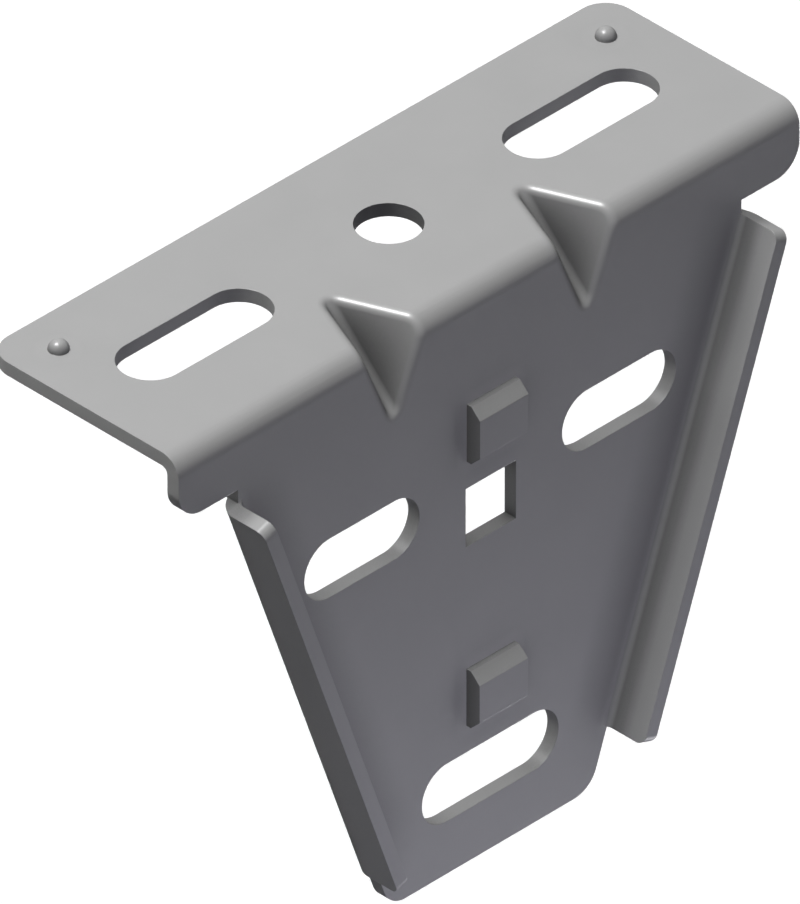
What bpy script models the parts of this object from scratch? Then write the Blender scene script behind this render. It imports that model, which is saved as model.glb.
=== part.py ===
"""Starter bracket for a facade or roof frame: one piece of folded and pressed steel sheet.

A wide flange bends back from the top of a web that narrows downwards. Two side tabs are folded forwards
along the web's slanted edges. Two darts pressed across the top bend stiffen it, two lugs are pressed out
of the web's front face, and two small studs stand on the flange.

+X runs across the bracket, +Y to the back, where the flange points, and +Z up. The origin lies on the
web's back face, on the centre line. Lengths are in metres.
"""

import math

import bmesh
import bpy
import numpy as np
from mathutils import Matrix, Vector

MM = 0.001

# Sheet and the top bend
SHEET = 2.5 * MM
BEND_RADIUS = 1.25 * MM  # inside
CORNER_RADIUS = 5.0 * MM  # of the sheet's outside corners, seen flat

# Flange
FLANGE_WIDTH = 135.0 * MM
FLANGE_REACH = 42.2 * MM  # from the web's front face to the free edge

# Web
ORIGIN_DROP = 60.0 * MM  # from the top face down to the origin
WEB_HEIGHT = 107.2 * MM  # from the top face to the bottom edge
SHOULDER_DROP = 11.65 * MM  # from the top face to the end of the full width
NECK_WIDTH = 109.6 * MM  # below the shoulders, and between the tabs at their top

# Side tabs
TAB_DROP = 14.2 * MM  # from the top face to the tabs' top, at their inner face
TAB_RISE = 10.4 * MM  # from the bottom edge to the tabs' lower end, at their inner face
TAB_LEAN = math.radians(19.4)  # of the bend from upright
TAB_REACH = 8.0 * MM  # in front of the web's front face
TAB_BEND_RADIUS = 1.25 * MM  # inside
TAB_CORNER_RADIUS = 1.8 * MM

# Slots and holes
SLOT_WIDTH = 11.0 * MM
FLANGE_HOLE_SETBACK = 22.25 * MM  # from the web's front face to the row of flange holes
FLANGE_HOLE = 11.0 * MM
FLANGE_SLOT_LENGTH = 30.0 * MM
FLANGE_SLOT_INSET = 10.5 * MM  # of the slots' outer ends from the flange's sides
WEB_SLOT_LENGTH = 25.0 * MM
WEB_SLOT_SPACING = 56.1 * MM
WEB_SLOT_DROP = 36.2 * MM
FOOT_SLOT_LENGTH = 30.0 * MM
FOOT_SLOT_RISE = 15.5 * MM  # from the bottom edge to the slot's middle
SQUARE_HOLE = 11.0 * MM
SQUARE_HOLE_DROP = 41.7 * MM

# Lugs pressed out of the web's front face
LUG_WIDTH = 10.6 * MM
LUG_HEIGHT = 10.8 * MM
LUG_STAND = 2.9 * MM
LUG_CHAMFER = 1.9 * MM
LUG_WALL = 1.3 * MM  # beside and above the recess at the back
LUG_DROP = 25.7 * MM  # from the top face to the upper lug's middle
LUG_RISE = 31.5 * MM  # from the bottom edge to the lower lug's middle

# Darts pressed across the top bend
DART_SPACING = 42.0 * MM
DART_REACH = 15.1 * MM  # from the heel to where the valley would leave a face with sharp edges
DART_SLOPE = math.radians(30.3)  # of its walls from upright, seen along the valley
DART_VALLEY_RADIUS = 1.3 * MM
DART_EDGE_RADIUS = 1.9 * MM

# Studs on the flange
STUD_INSET = 8.0 * MM  # from the flange's sides and its free edge
STUD_RADIUS = 1.75 * MM
STUD_WALL = 0.55 * MM  # between the dome and the pit under it

# Levels and faces that follow from the sizes
FRONT = -SHEET
BACK = 0.0
TOP = ORIGIN_DROP
UNDERSIDE = TOP - SHEET
BOTTOM = TOP - WEB_HEIGHT
FREE_EDGE = FRONT + FLANGE_REACH
HEEL_RADIUS = BEND_RADIUS + SHEET
TAB_LENGTH = (WEB_HEIGHT - TAB_DROP - TAB_RISE) / math.cos(TAB_LEAN)
DART_ROUND = min(DART_EDGE_RADIUS, 0.9 * HEEL_RADIUS)  # a larger one would not go round the heel

# How the shapes are drawn
ARC_STEPS = 16  # for a quarter turn
CLEAR = 2.0 * MM  # how far a cutter runs past what it cuts
SEAM = 0.05 * MM  # how deep a tab's ends reach into the flat web beside its bend
OVERLAP = 3.0 * MM  # of a tab's flat root with the web
LIFT = 0.004 * MM  # how far a dart's rounded edges start outside the sheet
WELD = 1e-7
DECIMALS = 9  # of a metre: points on one face get the same place to the last digit
SMOOTH_BELOW = math.radians(25)

SIDES = (-1, 1)

STEEL_COLOUR = (0.42, 0.43, 0.44, 1.0)
STEEL_ROUGHNESS = 0.42
STEEL_METALLIC = 0.9


def clear_scene():
    for obj in list(bpy.data.objects):
        bpy.data.objects.remove(obj, do_unlink=True)


def add_collection(name):
    collection = bpy.data.collections.new(name)
    bpy.context.scene.collection.children.link(collection)
    return collection


def galvanised_steel():
    material = bpy.data.materials.new("galvanised_steel")
    material.use_nodes = True
    shader = material.node_tree.nodes["Principled BSDF"]
    shader.inputs["Base Color"].default_value = STEEL_COLOUR
    shader.inputs["Roughness"].default_value = STEEL_ROUGHNESS
    shader.inputs["Metallic"].default_value = STEEL_METALLIC
    return material


def drawn_on(x_axis, y_axis, origin=(0, 0, 0)):
    """The matrix that lays a drawing's x and y along two directions at a right angle, from an origin."""
    x_axis, y_axis = Vector(x_axis), Vector(y_axis)
    matrix = Matrix((x_axis, y_axis, x_axis.cross(y_axis))).transposed().to_4x4()
    matrix.translation = origin
    return matrix


def swing(start, end, share):
    """Directions that turn evenly from start to end, unit vectors, as share goes from 0 to 1.

    With T the turn between them, they are (sin((1 - share) T) start + sin(share T) end) / sin T. It is
    written with sinc, which also holds where start and end are the same.
    """
    turn = np.arccos(np.clip(np.sum(start * end, axis=-1, keepdims=True), -1, 1)) / math.pi
    rest = 1 - share
    return (rest * np.sinc(rest * turn) * start + share * np.sinc(share * turn) * end) / np.sinc(turn)


def arc(centre, radius, start, end):
    """Points on an arc of under half a turn, between two directions from its centre."""
    start, end = np.array(start), np.array(end)
    quarters = math.acos(np.dot(start, end)) / (math.pi / 2)
    shares = np.linspace(0, 1, max(2, round(ARC_STEPS * quarters) + 1))[:, None]
    points = np.array(centre) + radius * swing(start, end, shares)
    return [tuple(point) for point in points.round(DECIMALS)]


def rounded(corners):
    """An outline of straight sides through corners (x, y, radius), with an arc where the radius isn't 0."""
    outline = []
    for index, (x, y, radius) in enumerate(corners):
        if not radius:
            outline.append((x, y))
            continue
        here = np.array((x, y))
        before = np.array(corners[index - 1][:2]) - here
        after = np.array(corners[(index + 1) % len(corners)][:2]) - here
        before /= np.linalg.norm(before)
        after /= np.linalg.norm(after)
        half = math.acos(np.dot(before, after)) / 2
        inwards = (before + after) / np.linalg.norm(before + after)
        centre = inwards / math.sin(half)
        start, end = before / math.tan(half) - centre, after / math.tan(half) - centre
        outline += arc(here + radius * centre, radius, start, end)
    return outline


def slot_outline(x, y, length, width):
    """A slot along x, with round ends."""
    reach, radius = (length - width) / 2, width / 2
    right, left, up, down = (1.0, 0.0), (-1.0, 0.0), (0.0, 1.0), (0.0, -1.0)
    return (
        arc((x + reach, y), radius, down, right)
        + arc((x + reach, y), radius, right, up)[1:]
        + arc((x - reach, y), radius, up, left)
        + arc((x - reach, y), radius, left, down)[1:]
    )


def add_mesh(name, collection, points, faces):
    """An object of points and faces, whose points in the same place become one."""
    mesh = bpy.data.meshes.new(name)
    mesh.from_pydata(points, [], faces)
    work = bmesh.new()
    work.from_mesh(mesh)
    bmesh.ops.remove_doubles(work, verts=work.verts, dist=WELD)
    work.to_mesh(mesh)
    work.free()
    obj = bpy.data.objects.new(name, mesh)
    collection.objects.link(obj)
    return obj


def extruded(name, collection, outline, depth, matrix):
    """The solid of a flat outline, with half its depth on each side of the drawing."""
    curve = bpy.data.curves.new(name, "CURVE")
    curve.dimensions = "2D"
    curve.fill_mode = "BOTH"
    curve.extrude = depth / 2
    spline = curve.splines.new("POLY")
    spline.points.add(len(outline) - 1)
    spline.points.foreach_set("co", [value for x, y in outline for value in (x, y, 0, 1)])
    spline.use_cyclic_u = True
    drawing = bpy.data.objects.new(name, curve)
    collection.objects.link(drawing)
    graph = bpy.context.evaluated_depsgraph_get()
    mesh = bpy.data.meshes.new_from_object(drawing.evaluated_get(graph))
    bpy.data.objects.remove(drawing)
    bpy.data.curves.remove(curve)

    work = bmesh.new()
    work.from_mesh(mesh)
    bmesh.ops.remove_doubles(work, verts=work.verts, dist=WELD)
    bmesh.ops.transform(work, matrix=matrix, verts=work.verts)
    bmesh.ops.recalc_face_normals(work, faces=work.faces)
    work.to_mesh(mesh)
    work.free()
    mesh.name = name
    obj = bpy.data.objects.new(name, mesh)
    collection.objects.link(obj)
    return obj


def boolean(obj, operation, tool):
    """Cuts, joins or trims an object by another object, or by all the objects of a collection."""
    modifier = obj.modifiers.new(tool.name, "BOOLEAN")
    modifier.operation = operation
    modifier.solver = "EXACT"
    if isinstance(tool, bpy.types.Collection):
        modifier.operand_type = "COLLECTION"
        modifier.collection = tool
    else:
        modifier.object = tool


def mirror_across(obj):
    """Adds the object's mirror image across its own X."""
    modifier = obj.modifiers.new("mirror", "MIRROR")
    modifier.use_axis = (True, False, False)
    modifier.merge_threshold = 1e-6


def on_side(out, down):
    """A point of the web's drawing, out from a tab's inner face and down along its bend from the tab's top."""
    return (
        NECK_WIDTH / 2 + out * math.cos(TAB_LEAN) - down * math.sin(TAB_LEAN),
        TOP - TAB_DROP - out * math.sin(TAB_LEAN) - down * math.cos(TAB_LEAN),
    )


def bent_blank(parts, tools):
    """The flange and the web in one, bent at the heel and cut to their outlines from the front and from above."""
    section = rounded(
        [
            (FRONT, BOTTOM - CLEAR, 0),
            (FRONT, TOP, HEEL_RADIUS),
            (FREE_EDGE + CLEAR, TOP, 0),
            (FREE_EDGE + CLEAR, UNDERSIDE, 0),
            (BACK, UNDERSIDE, BEND_RADIUS),
            (BACK, BOTTOM - CLEAR, 0),
        ]
    )
    blank = extruded("bracket", parts, section, FLANGE_WIDTH + 2 * CLEAR, drawn_on((0, 1, 0), (0, 0, 1)))

    half_width = FLANGE_WIDTH / 2
    foot = (TOP - TAB_DROP - BOTTOM) / math.cos(TAB_LEAN)
    step = -TAB_BEND_RADIUS - OVERLAP / 2
    right = [
        (half_width, TOP + CLEAR, 0),
        (half_width, TOP - SHOULDER_DROP, CORNER_RADIUS),
        (NECK_WIDTH / 2, TOP - SHOULDER_DROP, 0),
        (*on_side(0, SEAM), 0),
        (*on_side(step, SEAM), 0),
        (*on_side(step, TAB_LENGTH - SEAM), 0),
        (*on_side(0, TAB_LENGTH - SEAM), 0),
        (*on_side(0, foot), CORNER_RADIUS),
    ]
    left = [(-x, z, radius) for x, z, radius in reversed(right)]
    depth = 2 * (FLANGE_REACH + CLEAR)
    front_view = extruded("front_outline", tools, rounded(right + left), depth, drawn_on((1, 0, 0), (0, 0, 1)))

    plan = [
        (-half_width, FRONT - CLEAR, 0),
        (half_width, FRONT - CLEAR, 0),
        (half_width, FREE_EDGE, CORNER_RADIUS),
        (-half_width, FREE_EDGE, CORNER_RADIUS),
    ]
    depth = 2 * (WEB_HEIGHT + CLEAR)
    plan_view = extruded("plan_outline", tools, rounded(plan), depth, drawn_on((1, 0, 0), (0, 1, 0)))

    boolean(blank, "INTERSECT", front_view)
    boolean(blank, "INTERSECT", plan_view)
    return blank


def side_tabs(tools):
    """Both tabs with their bends and flat roots, and the outline that gives their ends and free corners."""
    out = (math.cos(TAB_LEAN), 0, -math.sin(TAB_LEAN))
    up = (math.sin(TAB_LEAN), 0, math.cos(TAB_LEAN))
    x, z = on_side(0, TAB_LENGTH / 2)
    root = -TAB_BEND_RADIUS - OVERLAP
    tip = FRONT - TAB_REACH
    section = rounded(
        [
            (root, FRONT, 0),
            (0, FRONT, TAB_BEND_RADIUS),
            (0, tip, 0),
            (SHEET, tip, 0),
            (SHEET, BACK, TAB_BEND_RADIUS + SHEET),
            (root, BACK, 0),
        ]
    )
    tabs = extruded("side_tabs", tools, section, TAB_LENGTH + 2 * CLEAR, drawn_on(out, (0, 1, 0), (x, 0, z)))

    side_view = rounded(
        [
            (tip, -TAB_LENGTH / 2, TAB_CORNER_RADIUS),
            (BACK + CLEAR, -TAB_LENGTH / 2, 0),
            (BACK + CLEAR, TAB_LENGTH / 2, 0),
            (tip, TAB_LENGTH / 2, TAB_CORNER_RADIUS),
        ]
    )
    depth = 2 * (SHEET + TAB_BEND_RADIUS + OVERLAP + CLEAR)
    outline = extruded("tab_outline", tools, side_view, depth, drawn_on((0, 1, 0), up, (x, 0, z)))
    boolean(tabs, "INTERSECT", outline)
    mirror_across(tabs)
    return tabs


def dart_bulge(name, tools, x, core):
    """The ridge of a dart in the inside of the bend: its valley and walls set off by the sheet's thickness."""
    heel = DART_REACH / math.sqrt(2)
    radius = DART_VALLEY_RADIUS + SHEET
    ridge = DART_VALLEY_RADIUS - radius / math.sin(DART_SLOPE)
    half = (heel - ridge) * math.tan(DART_SLOPE)
    section = rounded([(half, heel, 0), (0, ridge, radius), (-half, heel, 0)])
    outwards = (0, -math.sqrt(0.5), math.sqrt(0.5))
    middle = (x, FRONT + DART_REACH / 2, TOP - DART_REACH / 2)
    length = math.sqrt(2) * (DART_REACH + SHEET + CLEAR)
    bulge = extruded(name, tools, section, length, drawn_on((1, 0, 0), outwards, middle))
    boolean(bulge, "INTERSECT", core)
    return bulge


def heel_core(tools):
    """All that lies inside the middle of the sheet's thickness, behind the web and under the flange."""
    reach = DART_REACH + HEEL_RADIUS + 2 * (SHEET + CLEAR)
    section = rounded(
        [
            (FRONT + reach, TOP - reach, 0),
            (FRONT + SHEET / 2, TOP - reach, 0),
            (FRONT + SHEET / 2, TOP - SHEET / 2, HEEL_RADIUS - SHEET / 2),
            (FRONT + reach, TOP - SHEET / 2, 0),
        ]
    )
    width = FLANGE_WIDTH + 2 * CLEAR
    return extruded("heel_core", tools, section, width, drawn_on((0, 1, 0), (0, 0, 1)))


def dart_groove(name, tools, x):
    """The space that a dart's punch leaves: a V with a rounded valley, which flares into the outside faces.

    A ball of the edge radius rolls inside the sheet and touches both its outside face and the groove: round
    the valley's end on the flange, along the wall over the heel, and round the valley's end on the web. Its
    touching arcs are the groove's round edge. The half at +X is worked out on a grid of the ball's stops by
    the points from the lid down to the valley's bottom, and mirrored.
    """
    radius, valley = DART_ROUND, DART_VALLEY_RADIUS
    across, forwards, up = np.array([1.0, 0.0, 0.0]), np.array([0.0, -1.0, 0.0]), np.array([0.0, 0.0, 1.0])
    down, along = -(up + forwards) / math.sqrt(2), (up - forwards) / math.sqrt(2)
    wall = math.cos(DART_SLOPE) * across + math.sin(DART_SLOPE) * down
    axis = (DART_REACH / math.sqrt(2) - valley) * down

    many, few = (np.linspace(0, 1, steps + 1)[:, None] for steps in (ARC_STEPS, ARC_STEPS // 2))
    round_heel, round_end = swing(up, forwards, many), swing(wall, down, few)
    face = np.vstack([np.tile(up, few.shape), round_heel, np.tile(forwards, few.shape)])
    side = np.vstack([round_end[::-1], np.tile(wall, many.shape), round_end])

    end = axis + (valley + radius) * round_end
    on_flange = end - (radius + end @ up)[:, None] / (along @ up) * along
    on_web = end - (radius + end @ forwards)[:, None] / (along @ forwards) * along
    on_heel = HEEL_RADIUS * (-up - forwards) + (HEEL_RADIUS - radius) * round_heel
    on_heel[:, 0] = (valley + radius - (on_heel - axis) @ wall) / wall[0]
    ball = np.vstack([on_flange[::-1], on_heel, on_web])

    edge = ball[:, None] + radius * swing(face[:, None], -side[:, None], few)
    edge[:, 0] += LIFT * face
    lip = edge[:, 0] + CLEAR * face
    lid = lip * (0, 1, 1)
    middle = axis + ((ball - axis) @ along)[:, None] * along
    bed = middle[:, None] + valley * swing(side[:, None], down, few)
    grid = np.concatenate([lid[:, None], lip[:, None], edge, bed], axis=1)

    stops, points = grid.shape[:2]
    number = np.arange(stops * points).reshape(stops, points)
    faces = np.stack([number[:-1, :-1], number[1:, :-1], number[1:, 1:], number[:-1, 1:]], axis=-1)
    groove = add_mesh(name, tools, grid.reshape(-1, 3).tolist(), faces.reshape(-1, 4).tolist())
    groove.location = (x, FRONT, TOP)
    mirror_across(groove)
    return groove


def lug(name, tools, z):
    """A lug in front of the web, upright at its ends and chamfered to its front face."""
    root, face = FRONT + SHEET / 2, FRONT - LUG_STAND
    high = LUG_HEIGHT / 2
    section = [
        (root, high),
        (face + LUG_CHAMFER, high),
        (face, high - LUG_CHAMFER),
        (face, LUG_CHAMFER - high),
        (face + LUG_CHAMFER, -high),
        (root, -high),
    ]
    return extruded(name, tools, section, LUG_WIDTH, drawn_on((0, 1, 0), (0, 0, 1), (0, 0, z)))


def lug_recess(name, tools, z):
    """The recess that the punch leaves behind a lug."""
    mouth, bed = BACK + CLEAR, FRONT - LUG_STAND + SHEET
    high = LUG_HEIGHT / 2 - LUG_WALL
    section = [
        (mouth, high),
        (bed + LUG_CHAMFER, high),
        (bed, high - LUG_CHAMFER),
        (bed, LUG_CHAMFER - high),
        (bed + LUG_CHAMFER, -high),
        (mouth, -high),
    ]
    width = LUG_WIDTH - 2 * LUG_WALL
    return extruded(name, tools, section, width, drawn_on((0, 1, 0), (0, 0, 1), (0, 0, z)))


def through_flange(name, tools, outline):
    depth = SHEET + 2 * CLEAR
    return extruded(name, tools, outline, depth, drawn_on((1, 0, 0), (0, 1, 0), (0, 0, TOP - SHEET / 2)))


def through_web(name, tools, outline):
    depth = SHEET + 2 * CLEAR
    return extruded(name, tools, outline, depth, drawn_on((1, 0, 0), (0, 0, 1), (0, FRONT + SHEET / 2, 0)))


def holes(tools):
    """The slots and holes of the flange and the web, each as a cutter through the sheet."""
    row = FRONT + FLANGE_HOLE_SETBACK
    through_flange("round_hole", tools, slot_outline(0, row, FLANGE_HOLE, FLANGE_HOLE))
    for side in SIDES:
        x = side * (FLANGE_WIDTH / 2 - FLANGE_SLOT_INSET - FLANGE_SLOT_LENGTH / 2)
        through_flange("flange_slot", tools, slot_outline(x, row, FLANGE_SLOT_LENGTH, SLOT_WIDTH))
        x = side * WEB_SLOT_SPACING / 2
        z = TOP - WEB_SLOT_DROP
        through_web("web_slot", tools, slot_outline(x, z, WEB_SLOT_LENGTH, SLOT_WIDTH))
    through_web("foot_slot", tools, slot_outline(0, BOTTOM + FOOT_SLOT_RISE, FOOT_SLOT_LENGTH, SLOT_WIDTH))
    half, z = SQUARE_HOLE / 2, TOP - SQUARE_HOLE_DROP
    through_web("square_hole", tools, [(-half, z - half), (half, z - half), (half, z + half), (-half, z + half)])


def ball(name, tools, radius, centre):
    work = bmesh.new()
    bmesh.ops.create_uvsphere(work, u_segments=2 * ARC_STEPS, v_segments=ARC_STEPS, radius=radius)
    bmesh.ops.translate(work, vec=centre, verts=work.verts)
    mesh = bpy.data.meshes.new(name)
    work.to_mesh(mesh)
    work.free()
    obj = bpy.data.objects.new(name, mesh)
    tools.objects.link(obj)
    return obj


def finish(bracket, tools):
    """Keeps what the modifiers made as the bracket's mesh, shades it smooth and hides the tools."""
    graph = bpy.context.evaluated_depsgraph_get()
    bracket.data = bpy.data.meshes.new_from_object(bracket.evaluated_get(graph))
    bracket.data.name = bracket.name
    bracket.modifiers.clear()
    bracket.data.shade_smooth()
    bracket.data.set_sharp_from_angle(angle=SMOOTH_BELOW)
    bracket.data.materials.clear()
    bracket.data.materials.append(galvanised_steel())
    for tool in tools.all_objects:
        tool.hide_render = True
        tool.display_type = "WIRE"
    tools.hide_render = True


def build():
    clear_scene()
    parts = add_collection("starter_bracket")
    tools = add_collection("tools")
    cutters = bpy.data.collections.new("cutters")
    tools.children.link(cutters)

    bracket = bent_blank(parts, tools)
    boolean(bracket, "UNION", side_tabs(tools))

    core = heel_core(tools)
    row, pit = FREE_EDGE - STUD_INSET, STUD_RADIUS - STUD_WALL
    for side in SIDES:
        x = side * DART_SPACING / 2
        boolean(bracket, "UNION", dart_bulge("dart_bulge", tools, x, core))
        dart_groove("dart_groove", cutters, x)
        x = side * (FLANGE_WIDTH / 2 - STUD_INSET)
        boolean(bracket, "UNION", ball("stud", tools, STUD_RADIUS, (x, row, TOP)))
        ball("stud_pit", cutters, pit, (x, row, UNDERSIDE))
    for z in (TOP - LUG_DROP, BOTTOM + LUG_RISE):
        boolean(bracket, "UNION", lug("lug", tools, z))
        lug_recess("lug_recess", cutters, z)
    holes(cutters)
    boolean(bracket, "DIFFERENCE", cutters)
    finish(bracket, tools)


build()
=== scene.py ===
"""Looks of a starter bracket: folded and pressed galvanised sheet steel in a pale studio.

Lengths are in metres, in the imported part's frame: +X across the bracket, +Y to the back, +Z up.
"""

import math

import bmesh
import bpy
import numpy as np
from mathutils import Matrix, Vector

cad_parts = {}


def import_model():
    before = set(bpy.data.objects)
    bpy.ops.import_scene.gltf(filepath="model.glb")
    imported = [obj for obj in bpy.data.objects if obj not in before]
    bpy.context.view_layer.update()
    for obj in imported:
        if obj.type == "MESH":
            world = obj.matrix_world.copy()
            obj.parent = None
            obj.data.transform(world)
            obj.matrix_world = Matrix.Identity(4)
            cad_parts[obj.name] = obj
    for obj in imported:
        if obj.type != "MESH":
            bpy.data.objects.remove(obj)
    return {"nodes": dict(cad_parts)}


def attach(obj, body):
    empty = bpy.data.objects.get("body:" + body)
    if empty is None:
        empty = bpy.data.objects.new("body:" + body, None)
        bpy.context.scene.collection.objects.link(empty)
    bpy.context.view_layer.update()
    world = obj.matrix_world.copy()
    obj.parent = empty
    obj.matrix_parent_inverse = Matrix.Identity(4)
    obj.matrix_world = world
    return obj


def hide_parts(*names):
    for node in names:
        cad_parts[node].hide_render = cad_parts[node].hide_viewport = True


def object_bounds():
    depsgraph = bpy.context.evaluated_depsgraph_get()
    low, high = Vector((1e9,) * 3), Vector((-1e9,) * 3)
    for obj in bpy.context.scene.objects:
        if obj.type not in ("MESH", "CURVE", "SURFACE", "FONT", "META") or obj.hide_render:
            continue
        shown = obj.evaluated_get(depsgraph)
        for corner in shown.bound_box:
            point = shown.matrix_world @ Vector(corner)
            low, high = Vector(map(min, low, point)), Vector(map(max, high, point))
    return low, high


MM = 0.001

# The view: from a corner above, as in the photo, and from so far that parallel sides look parallel
VIEW_AZIMUTH = math.radians(-45.0)
VIEW_ELEVATION = math.radians(35.264)
VIEW_TARGET = Vector((-20.638, -3.33, 38.806)) * MM
VIEW_DISTANCE = 5.7798
LENS = 1500.0  # mm, for a sensor 36 mm along the picture's longer side
SENSOR = 36.0

# The studio
WHITE = "#FFFFFF"  # what the camera and reflections see of the floor and the sky
FLOOR_GREY = "#404040"  # what the floor gives back as soft light
FLOOR_DROP = 0.16  # below the bracket's lowest point
FLOOR_RADIUS = 3.0
FLOOR_SIDES = 96
GLOW_FROM = 0.2  # from the floor's middle: the glow that keeps it white far from the lamps grows
GLOW_TO = 0.6
GLOW_NEAR = 0.15
GLOW_FAR = 0.32
SKY_LEVEL = "#232426"  # the sky's soft light at the horizon and below it
SKY_TOP = "#929292"  # and straight above

# The lamps are discs that look at the origin: where from, how far, how wide, and watts.
# Only the key casts a shadow. The photo has none, so most of the light is in the others.
KEY = {"away": (-0.25, 0.24, 0.94), "distance": 2.0, "size": 0.4, "power": 7.5}
SOFT_KEY = {"away": (-0.25, 0.24, 0.94), "distance": 2.0, "size": 0.4, "power": 25.7}
# Reflections alone: the highlights along the darts and on the studs
SHEEN = {"away": (-0.278, 0.224, 0.934), "distance": 2.0, "size": 0.3, "power": 98.0}
# Low in front: the web, lighter towards its foot, and a little blue
FILL = {"away": (-0.03, -0.19, -0.15), "distance": 0.244, "size": 0.06, "power": 0.167}
FILL_BLUE = "#ECEAFF"
# Reflections alone: the thin lights on the lower corners of the tabs and lugs
GLINT = {"away": (0.58, -0.12, -0.81), "distance": 0.22, "size": 0.034, "power": 0.2}

# The sheet's surface
WELD = 1e-6  # corners closer than this are one
FLAT = math.radians(0.05)  # faces that turn less than this are one flat face
SHARP = math.radians(28)  # an edge that turns more than this stays sharp
LARGE_FACES_LEAD = 100  # how much a large face decides the shading beside it, from 1 to 100

# The zinc, with painted shade in its hollows and on the walls of its openings
ZINC_DULL = "#ABABAB"  # between these two in soft clouds
ZINC_LIGHT = "#B1B1B1"
# painted shade: the dark grey that hollows and inner corners are mixed towards
PAINTED_SHADE_IN_HOLLOWS = "#323232"
PAINTED_SHADE_ON_WALLS = "#0C0C0C"  # painted shade on the walls of the openings
CLOUD_SIZE = 12 * MM
CLOUD_DETAIL = 3.0
GRAIN_SIZE = 0.5 * MM  # real grain is finer and wouldn't show
GRAIN_DETAIL = 2.0
GRAIN_DEPTH = 0.002 * MM
SMOOTHEST = 0.35  # roughness, which the grain varies
ROUGHEST = 0.4
METAL_SHARE = 0.07  # the weak sheen that passivated zinc keeps
COAT_ROUND = 0.18 * MM  # how the coat rounds a sheared edge
EDGE_SAMPLES = 6

# Painted shade in hollows and inner corners: less on the wide faces than on the pressed forms
CORNER_SAMPLES = 8
CORNER_NEAR = 2.5 * MM  # on a wide face, a wall closer than this adds no painted shade beside it
CORNER_FAR = 11 * MM  # and one further away than this adds none anywhere
WIDE_FACES = (("Z", 60 * MM), ("Y", -2.5 * MM))  # the flange's top and the web's front
PRESSED_FROM = 0.03 * MM  # off a wide face by this much, a form begins to count as pressed
PRESSED_TO = 0.5 * MM
TILT_COUNTS = 2 * MM  # what a face at right angles to a wide face counts as off it
SHADE_POWER_WIDE = 1.1  # the power that strengthens the painted shade on a wide face
SHADE_POWER_PRESSED = 1.75  # and on a pressed form
TAB_FROM = -5.5 * MM  # along Y: from here the tabs stand free, and the power falls
TAB_TO = -7.5 * MM
TAB_LESS = 0.9  # by this much

# Painted shade on the walls of the openings: a box around the walls (its middle and half its
# sides, in mm), and the share of the painted dark grey there
SHADED_WALL_BOXES = (
    ((0, -1.25, -4), (56, 1.2, 42), 0.22),  # the web's slots and outline
    ((0, -1.25, 18.3), (6, 1.2, 6), 0.28),  # the square hole
    ((0, 19.75, 58.75), (6, 6, 1.2), 0.5),  # the round hole
)


def linear(hex_colour):
    """The linear RGBA of an sRGB colour written as #RRGGBB."""
    channels = [int(hex_colour[i : i + 2], 16) / 255 for i in (1, 3, 5)]
    straight = [c / 12.92 if c <= 0.04045 else ((c + 0.055) / 1.055) ** 2.4 for c in channels]
    return (*straight, 1.0)


def add_node(tree, kind, settings=None, **links):
    """Adds a node, sets its properties, and links or sets its inputs.

    An input goes by its name, with _ for a space, or by its number, as i0 or i1.
    """
    node = tree.nodes.new(kind)
    for key, value in (settings or {}).items():
        setattr(node, key, value)
    for key, value in links.items():
        by_number = key[1:].isdigit()
        socket = node.inputs[int(key[1:])] if by_number else node.inputs[key.replace("_", " ")]
        if isinstance(value, bpy.types.NodeSocket):
            tree.links.new(value, socket)
        else:
            socket.default_value = value
    return node


def new_material(name):
    """A material whose nodes are still to be made, and its node tree."""
    material = bpy.data.materials.new(name)
    material.use_nodes = True
    material.node_tree.nodes.clear()
    return material, material.node_tree


def off_wide_faces(tree, apart):
    """How far a point is off the nearer wide face.

    For each wide face that is the distance from its plane, plus TILT_COUNTS * (1 - |n|), where n is
    the part of the normal along the plane's own. The lesser of the two counts.
    """
    normal = add_node(tree, "ShaderNodeNewGeometry").outputs["Normal"]
    facing = add_node(tree, "ShaderNodeSeparateXYZ", Vector=normal)
    offs = []
    for axis, level in WIDE_FACES:
        away = add_node(
            tree, "ShaderNodeMath", {"operation": "SUBTRACT"}, i0=apart.outputs[axis], i1=level
        )
        away = add_node(tree, "ShaderNodeMath", {"operation": "ABSOLUTE"}, i0=away.outputs[0])
        along = add_node(
            tree, "ShaderNodeMath", {"operation": "ABSOLUTE"}, i0=facing.outputs[axis]
        )
        tilt = add_node(
            tree,
            "ShaderNodeMath",
            {"operation": "MULTIPLY_ADD"},
            i0=along.outputs[0],
            i1=-TILT_COUNTS,
            i2=TILT_COUNTS,
        )
        off = add_node(
            tree, "ShaderNodeMath", {"operation": "ADD"}, i0=away.outputs[0], i1=tilt.outputs[0]
        )
        offs.append(off.outputs[0])
    nearer = add_node(tree, "ShaderNodeMath", {"operation": "MINIMUM"}, i0=offs[0], i1=offs[1])
    return nearer.outputs[0]


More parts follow.
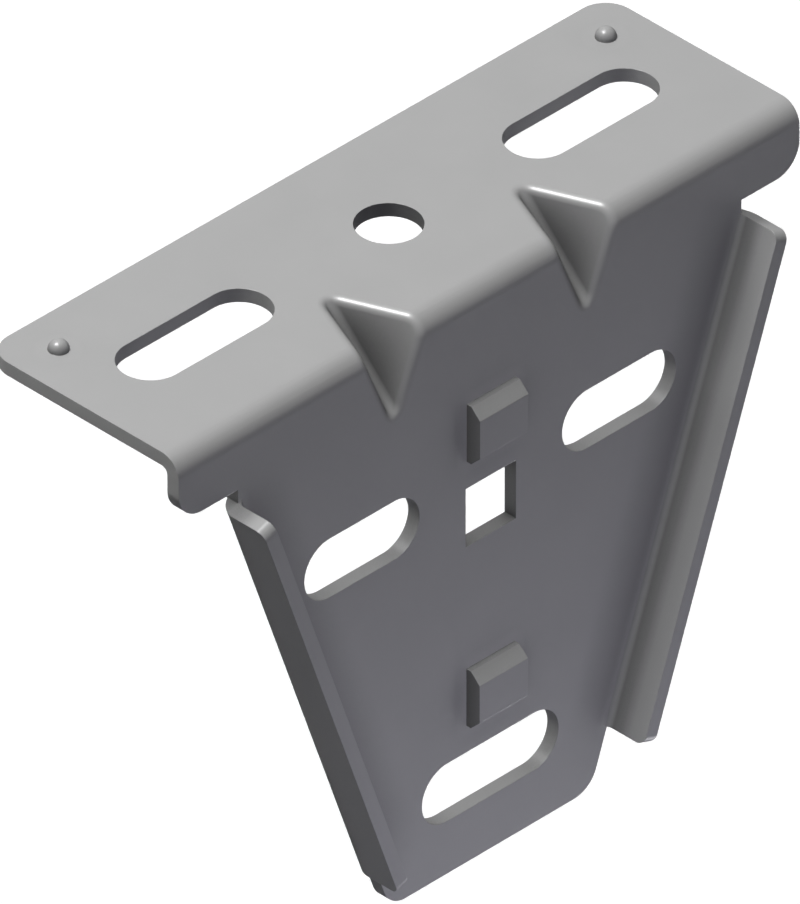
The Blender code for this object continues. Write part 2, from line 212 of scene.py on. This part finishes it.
def openness(tree, apart):
    """How open a point lies, which sets the painted shade there: 1 on a free face, less in a hollow
    or an inner corner.

    It is far ** strength / near ** spared, at most 1, where far and near are the shares of the open
    half space that a point sees within CORNER_FAR and CORNER_NEAR. On a wide face both powers are
    SHADE_POWER_WIDE, so a low wall leaves no halo there. On a pressed form strength is
    SHADE_POWER_PRESSED and spared is 0. On a tab's free part strength is less by TAB_LESS.
    """
    local = {"samples": CORNER_SAMPLES, "only_local": True}
    near = add_node(tree, "ShaderNodeAmbientOcclusion", local, Distance=CORNER_NEAR)
    far = add_node(tree, "ShaderNodeAmbientOcclusion", local, Distance=CORNER_FAR)
    form = {"i0": off_wide_faces(tree, apart), "i1": PRESSED_FROM, "i2": PRESSED_TO}
    pressed = add_node(tree, "ShaderNodeMapRange", i3=SHADE_POWER_WIDE, i4=SHADE_POWER_PRESSED, **form)
    spared = add_node(tree, "ShaderNodeMapRange", i3=SHADE_POWER_WIDE, i4=0.0, **form)
    tab = add_node(
        tree,
        "ShaderNodeMapRange",
        i0=apart.outputs["Y"],
        i1=TAB_FROM,
        i2=TAB_TO,
        i3=0.0,
        i4=TAB_LESS,
    )
    strength = add_node(
        tree,
        "ShaderNodeMath",
        {"operation": "SUBTRACT"},
        i0=pressed.outputs[0],
        i1=tab.outputs[0],
    )
    wide = add_node(
        tree,
        "ShaderNodeMath",
        {"operation": "POWER"},
        i0=far.outputs["AO"],
        i1=strength.outputs[0],
    )
    close = add_node(
        tree,
        "ShaderNodeMath",
        {"operation": "POWER"},
        i0=near.outputs["AO"],
        i1=spared.outputs[0],
    )
    ratio = add_node(
        tree,
        "ShaderNodeMath",
        {"operation": "DIVIDE", "use_clamp": True},
        i0=wide.outputs[0],
        i1=close.outputs[0],
    )
    return ratio.outputs[0]


def with_painted_wall_shade(tree, apart, zinc):
    """The zinc's colour, mixed with painted shade by the share of each box around the walls of
    openings.

    A point is inside a box where it lies within half the box's side of its middle along all of X, Y
    and Z: the three tests of 1 or 0 are multiplied by the share.
    """
    finished = zinc
    for middle, half, share in SHADED_WALL_BOXES:
        shade_share = share
        for axis, centre, half_side in zip("XYZ", middle, half):
            within = add_node(
                tree,
                "ShaderNodeMath",
                {"operation": "COMPARE"},
                i0=apart.outputs[axis],
                i1=centre * MM,
                i2=half_side * MM,
            )
            shade_share = add_node(
                tree, "ShaderNodeMath", {"operation": "MULTIPLY"}, i0=within.outputs[0], i1=shade_share
            ).outputs[0]
        # painted shade: the walls inside each box are mixed towards a dark grey
        finished = add_node(
            tree,
            "ShaderNodeMix",
            {"data_type": "RGBA"},
            i0=shade_share,
            i6=finished,
            i7=linear(PAINTED_SHADE_ON_WALLS),
        ).outputs[2]
    return finished


def galvanised_steel():
    """Cold-rolled sheet, zinc coated and passivated after it was pressed.

    The passivated zinc is a plain mid grey that scatters most of the light and keeps a weak metal
    sheen. To the eye it is even, with soft clouds some 12 mm across where the zinc took a little
    unevenly, and a fine grain that only the highlights show. Painted shade darkens the hollows, the
    inner corners and the walls of the openings, and the coat rounds the sheared edges.
    """
    material, tree = new_material("galvanised_steel")
    place = add_node(tree, "ShaderNodeTexCoord").outputs["Object"]
    apart = add_node(tree, "ShaderNodeSeparateXYZ", Vector=place)

    cloud = add_node(
        tree, "ShaderNodeTexNoise", Vector=place, Scale=1 / CLOUD_SIZE, Detail=CLOUD_DETAIL
    )
    even = add_node(
        tree,
        "ShaderNodeMix",
        {"data_type": "RGBA"},
        i0=cloud.outputs["Fac"],
        i6=linear(ZINC_DULL),
        i7=linear(ZINC_LIGHT),
    )
    # painted shade: hollows and inner corners are mixed towards a dark grey by how open they lie
    zinc = add_node(
        tree,
        "ShaderNodeMix",
        {"data_type": "RGBA"},
        i0=openness(tree, apart),
        i6=linear(PAINTED_SHADE_IN_HOLLOWS),
        i7=even.outputs[2],
    )

    rounded = add_node(tree, "ShaderNodeBevel", {"samples": EDGE_SAMPLES}, Radius=COAT_ROUND)
    grain = add_node(
        tree, "ShaderNodeTexNoise", Vector=place, Scale=1 / GRAIN_SIZE, Detail=GRAIN_DETAIL
    )
    relief = add_node(
        tree,
        "ShaderNodeBump",
        Strength=1.0,
        Distance=GRAIN_DEPTH,
        Height=grain.outputs["Fac"],
        Normal=rounded.outputs[0],
    )
    roughness = add_node(
        tree, "ShaderNodeMapRange", i0=grain.outputs["Fac"], i3=SMOOTHEST, i4=ROUGHEST
    )
    shader = add_node(
        tree,
        "ShaderNodeBsdfPrincipled",
        Base_Color=with_painted_wall_shade(tree, apart, zinc.outputs[2]),
        Roughness=roughness.outputs[0],
        Metallic=METAL_SHARE,
        Specular_IOR_Level=0.0,
        Normal=relief.outputs[0],
    )
    add_node(tree, "ShaderNodeOutputMaterial", Surface=shader.outputs[0])
    return material


def sheet(node):
    """The bracket's fine surface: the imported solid, merged, with its bends shaded smooth.

    The faces' normals are averaged by area between the edges that turn more than SHARP.
    """
    work = bmesh.new()
    work.from_mesh(node.data)
    bmesh.ops.remove_doubles(work, verts=work.verts, dist=WELD)
    bmesh.ops.dissolve_limit(work, angle_limit=FLAT, verts=work.verts, edges=work.edges)
    mesh = bpy.data.meshes.new("bracket_sheet")
    work.to_mesh(mesh)
    work.free()
    piece = bpy.data.objects.new("bracket_sheet", mesh)
    bpy.context.scene.collection.objects.link(piece)
    mesh.shade_smooth()
    mesh.set_sharp_from_angle(angle=SHARP)
    normals = piece.modifiers.new("normals", "WEIGHTED_NORMAL")
    normals.keep_sharp = True
    normals.weight = LARGE_FACES_LEAD
    return piece


def camera():
    """The view: back from VIEW_TARGET by VIEW_DISTANCE, at VIEW_AZIMUTH and VIEW_ELEVATION."""
    data = bpy.data.cameras.new("camera")
    data.sensor_width = SENSOR
    data.lens = LENS
    cam = bpy.data.objects.new("camera", data)
    away = Vector(
        (
            math.sin(VIEW_AZIMUTH) * math.cos(VIEW_ELEVATION),
            -math.cos(VIEW_AZIMUTH) * math.cos(VIEW_ELEVATION),
            math.sin(VIEW_ELEVATION),
        )
    )
    cam.location = VIEW_TARGET + VIEW_DISTANCE * away
    cam.rotation_mode = "QUATERNION"
    cam.rotation_quaternion = (-away).to_track_quat("-Z", "Y")
    data.clip_end = 2 * VIEW_DISTANCE
    bpy.context.scene.collection.objects.link(cam)
    bpy.context.scene.camera = cam


def seen_directly(tree):
    """1 for rays from the camera, mirrored and refracted ones, and 0 for those of soft light."""
    path = add_node(tree, "ShaderNodeLightPath")
    seen = path.outputs["Is Camera Ray"]
    for kind in ("Is Glossy Ray", "Is Transmission Ray"):
        seen = add_node(
            tree, "ShaderNodeMath", {"operation": "MAXIMUM"}, i0=seen, i1=path.outputs[kind]
        ).outputs[0]
    return seen


def floor(level):
    """A disc whose glow grows with the distance from its middle, for the camera and reflections."""
    material, tree = new_material("floor")
    seen = seen_directly(tree)
    colour = add_node(
        tree,
        "ShaderNodeMix",
        {"data_type": "RGBA"},
        i0=seen,
        i6=linear(FLOOR_GREY),
        i7=linear(WHITE),
    )
    matt = add_node(tree, "ShaderNodeBsdfDiffuse", Color=colour.outputs[2])
    place = add_node(tree, "ShaderNodeTexCoord").outputs["Object"]
    distance = add_node(tree, "ShaderNodeVectorMath", {"operation": "LENGTH"}, i0=place)
    growth = add_node(
        tree,
        "ShaderNodeMapRange",
        i0=distance.outputs["Value"],
        i1=GLOW_FROM,
        i2=GLOW_TO,
        i3=GLOW_NEAR,
        i4=GLOW_FAR,
    )
    glow = add_node(
        tree, "ShaderNodeMath", {"operation": "MULTIPLY"}, i0=seen, i1=growth.outputs[0]
    )
    light = add_node(
        tree, "ShaderNodeEmission", Color=linear(WHITE), Strength=glow.outputs[0]
    )
    both = add_node(tree, "ShaderNodeAddShader", i0=matt.outputs[0], i1=light.outputs[0])
    add_node(tree, "ShaderNodeOutputMaterial", Surface=both.outputs[0])

    turn = np.linspace(0, 2 * np.pi, FLOOR_SIDES, endpoint=False)
    rim = np.column_stack(
        (FLOOR_RADIUS * np.cos(turn), FLOOR_RADIUS * np.sin(turn), np.full(FLOOR_SIDES, level))
    )
    mesh = bpy.data.meshes.new("floor")
    mesh.from_pydata(rim.tolist(), [], [range(FLOOR_SIDES)])
    mesh.materials.append(material)
    obj = bpy.data.objects.new("floor", mesh)
    bpy.context.scene.collection.objects.link(obj)


def world():
    """A sky that is seen white, and whose soft light grows from the horizon to the top."""
    sky = bpy.data.worlds.new("studio")
    sky.use_nodes = True
    tree = sky.node_tree
    tree.nodes.clear()
    direction = add_node(tree, "ShaderNodeTexCoord").outputs["Generated"]
    height = add_node(tree, "ShaderNodeSeparateXYZ", Vector=direction).outputs["Z"]
    share = add_node(tree, "ShaderNodeMapRange", i0=height, i1=0.0, i2=1.0).outputs[0]
    soft = add_node(
        tree,
        "ShaderNodeMix",
        {"data_type": "RGBA"},
        i0=share,
        i6=linear(SKY_LEVEL),
        i7=linear(SKY_TOP),
    )
    shown = add_node(
        tree,
        "ShaderNodeMix",
        {"data_type": "RGBA"},
        i0=seen_directly(tree),
        i6=soft.outputs[2],
        i7=linear(WHITE),
    )
    back = add_node(tree, "ShaderNodeBackground", Color=shown.outputs[2])
    add_node(tree, "ShaderNodeOutputWorld", Surface=back.outputs[0])
    bpy.context.scene.world = sky


def lamp(name, disc, colour=WHITE, shadow=False, diffuse=True, glossy=True):
    """A disc that looks at the origin, for soft light (diffuse), reflections (glossy) or both."""
    data = bpy.data.lights.new(name, "AREA")
    data.shape = "DISK"
    data.size = disc["size"]
    data.energy = disc["power"]
    data.color = linear(colour)[:3]
    data.use_shadow = shadow
    obj = bpy.data.objects.new(name, data)
    away = Vector(disc["away"]).normalized()
    obj.location = disc["distance"] * away
    obj.rotation_mode = "QUATERNION"
    obj.rotation_quaternion = (-away).to_track_quat("-Z", "Y")
    obj.visible_camera = False
    obj.visible_diffuse = diffuse
    obj.visible_glossy = glossy
    bpy.context.scene.collection.objects.link(obj)


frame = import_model()
cad_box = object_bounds()

camera()
world()
floor(cad_box[0].z - FLOOR_DROP)
lamp("key", KEY, shadow=True)
lamp("soft_key", SOFT_KEY, glossy=False)
lamp("sheen", SHEEN, diffuse=False)
lamp("fill", FILL, colour=FILL_BLUE, glossy=False)
lamp("glint", GLINT, diffuse=False)

bracket = sheet(frame["nodes"]["bracket"])
bracket.data.materials.append(galvanised_steel())
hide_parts("bracket")
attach(bracket, "root")

bpy.context.scene.view_settings.view_transform = "Standard"
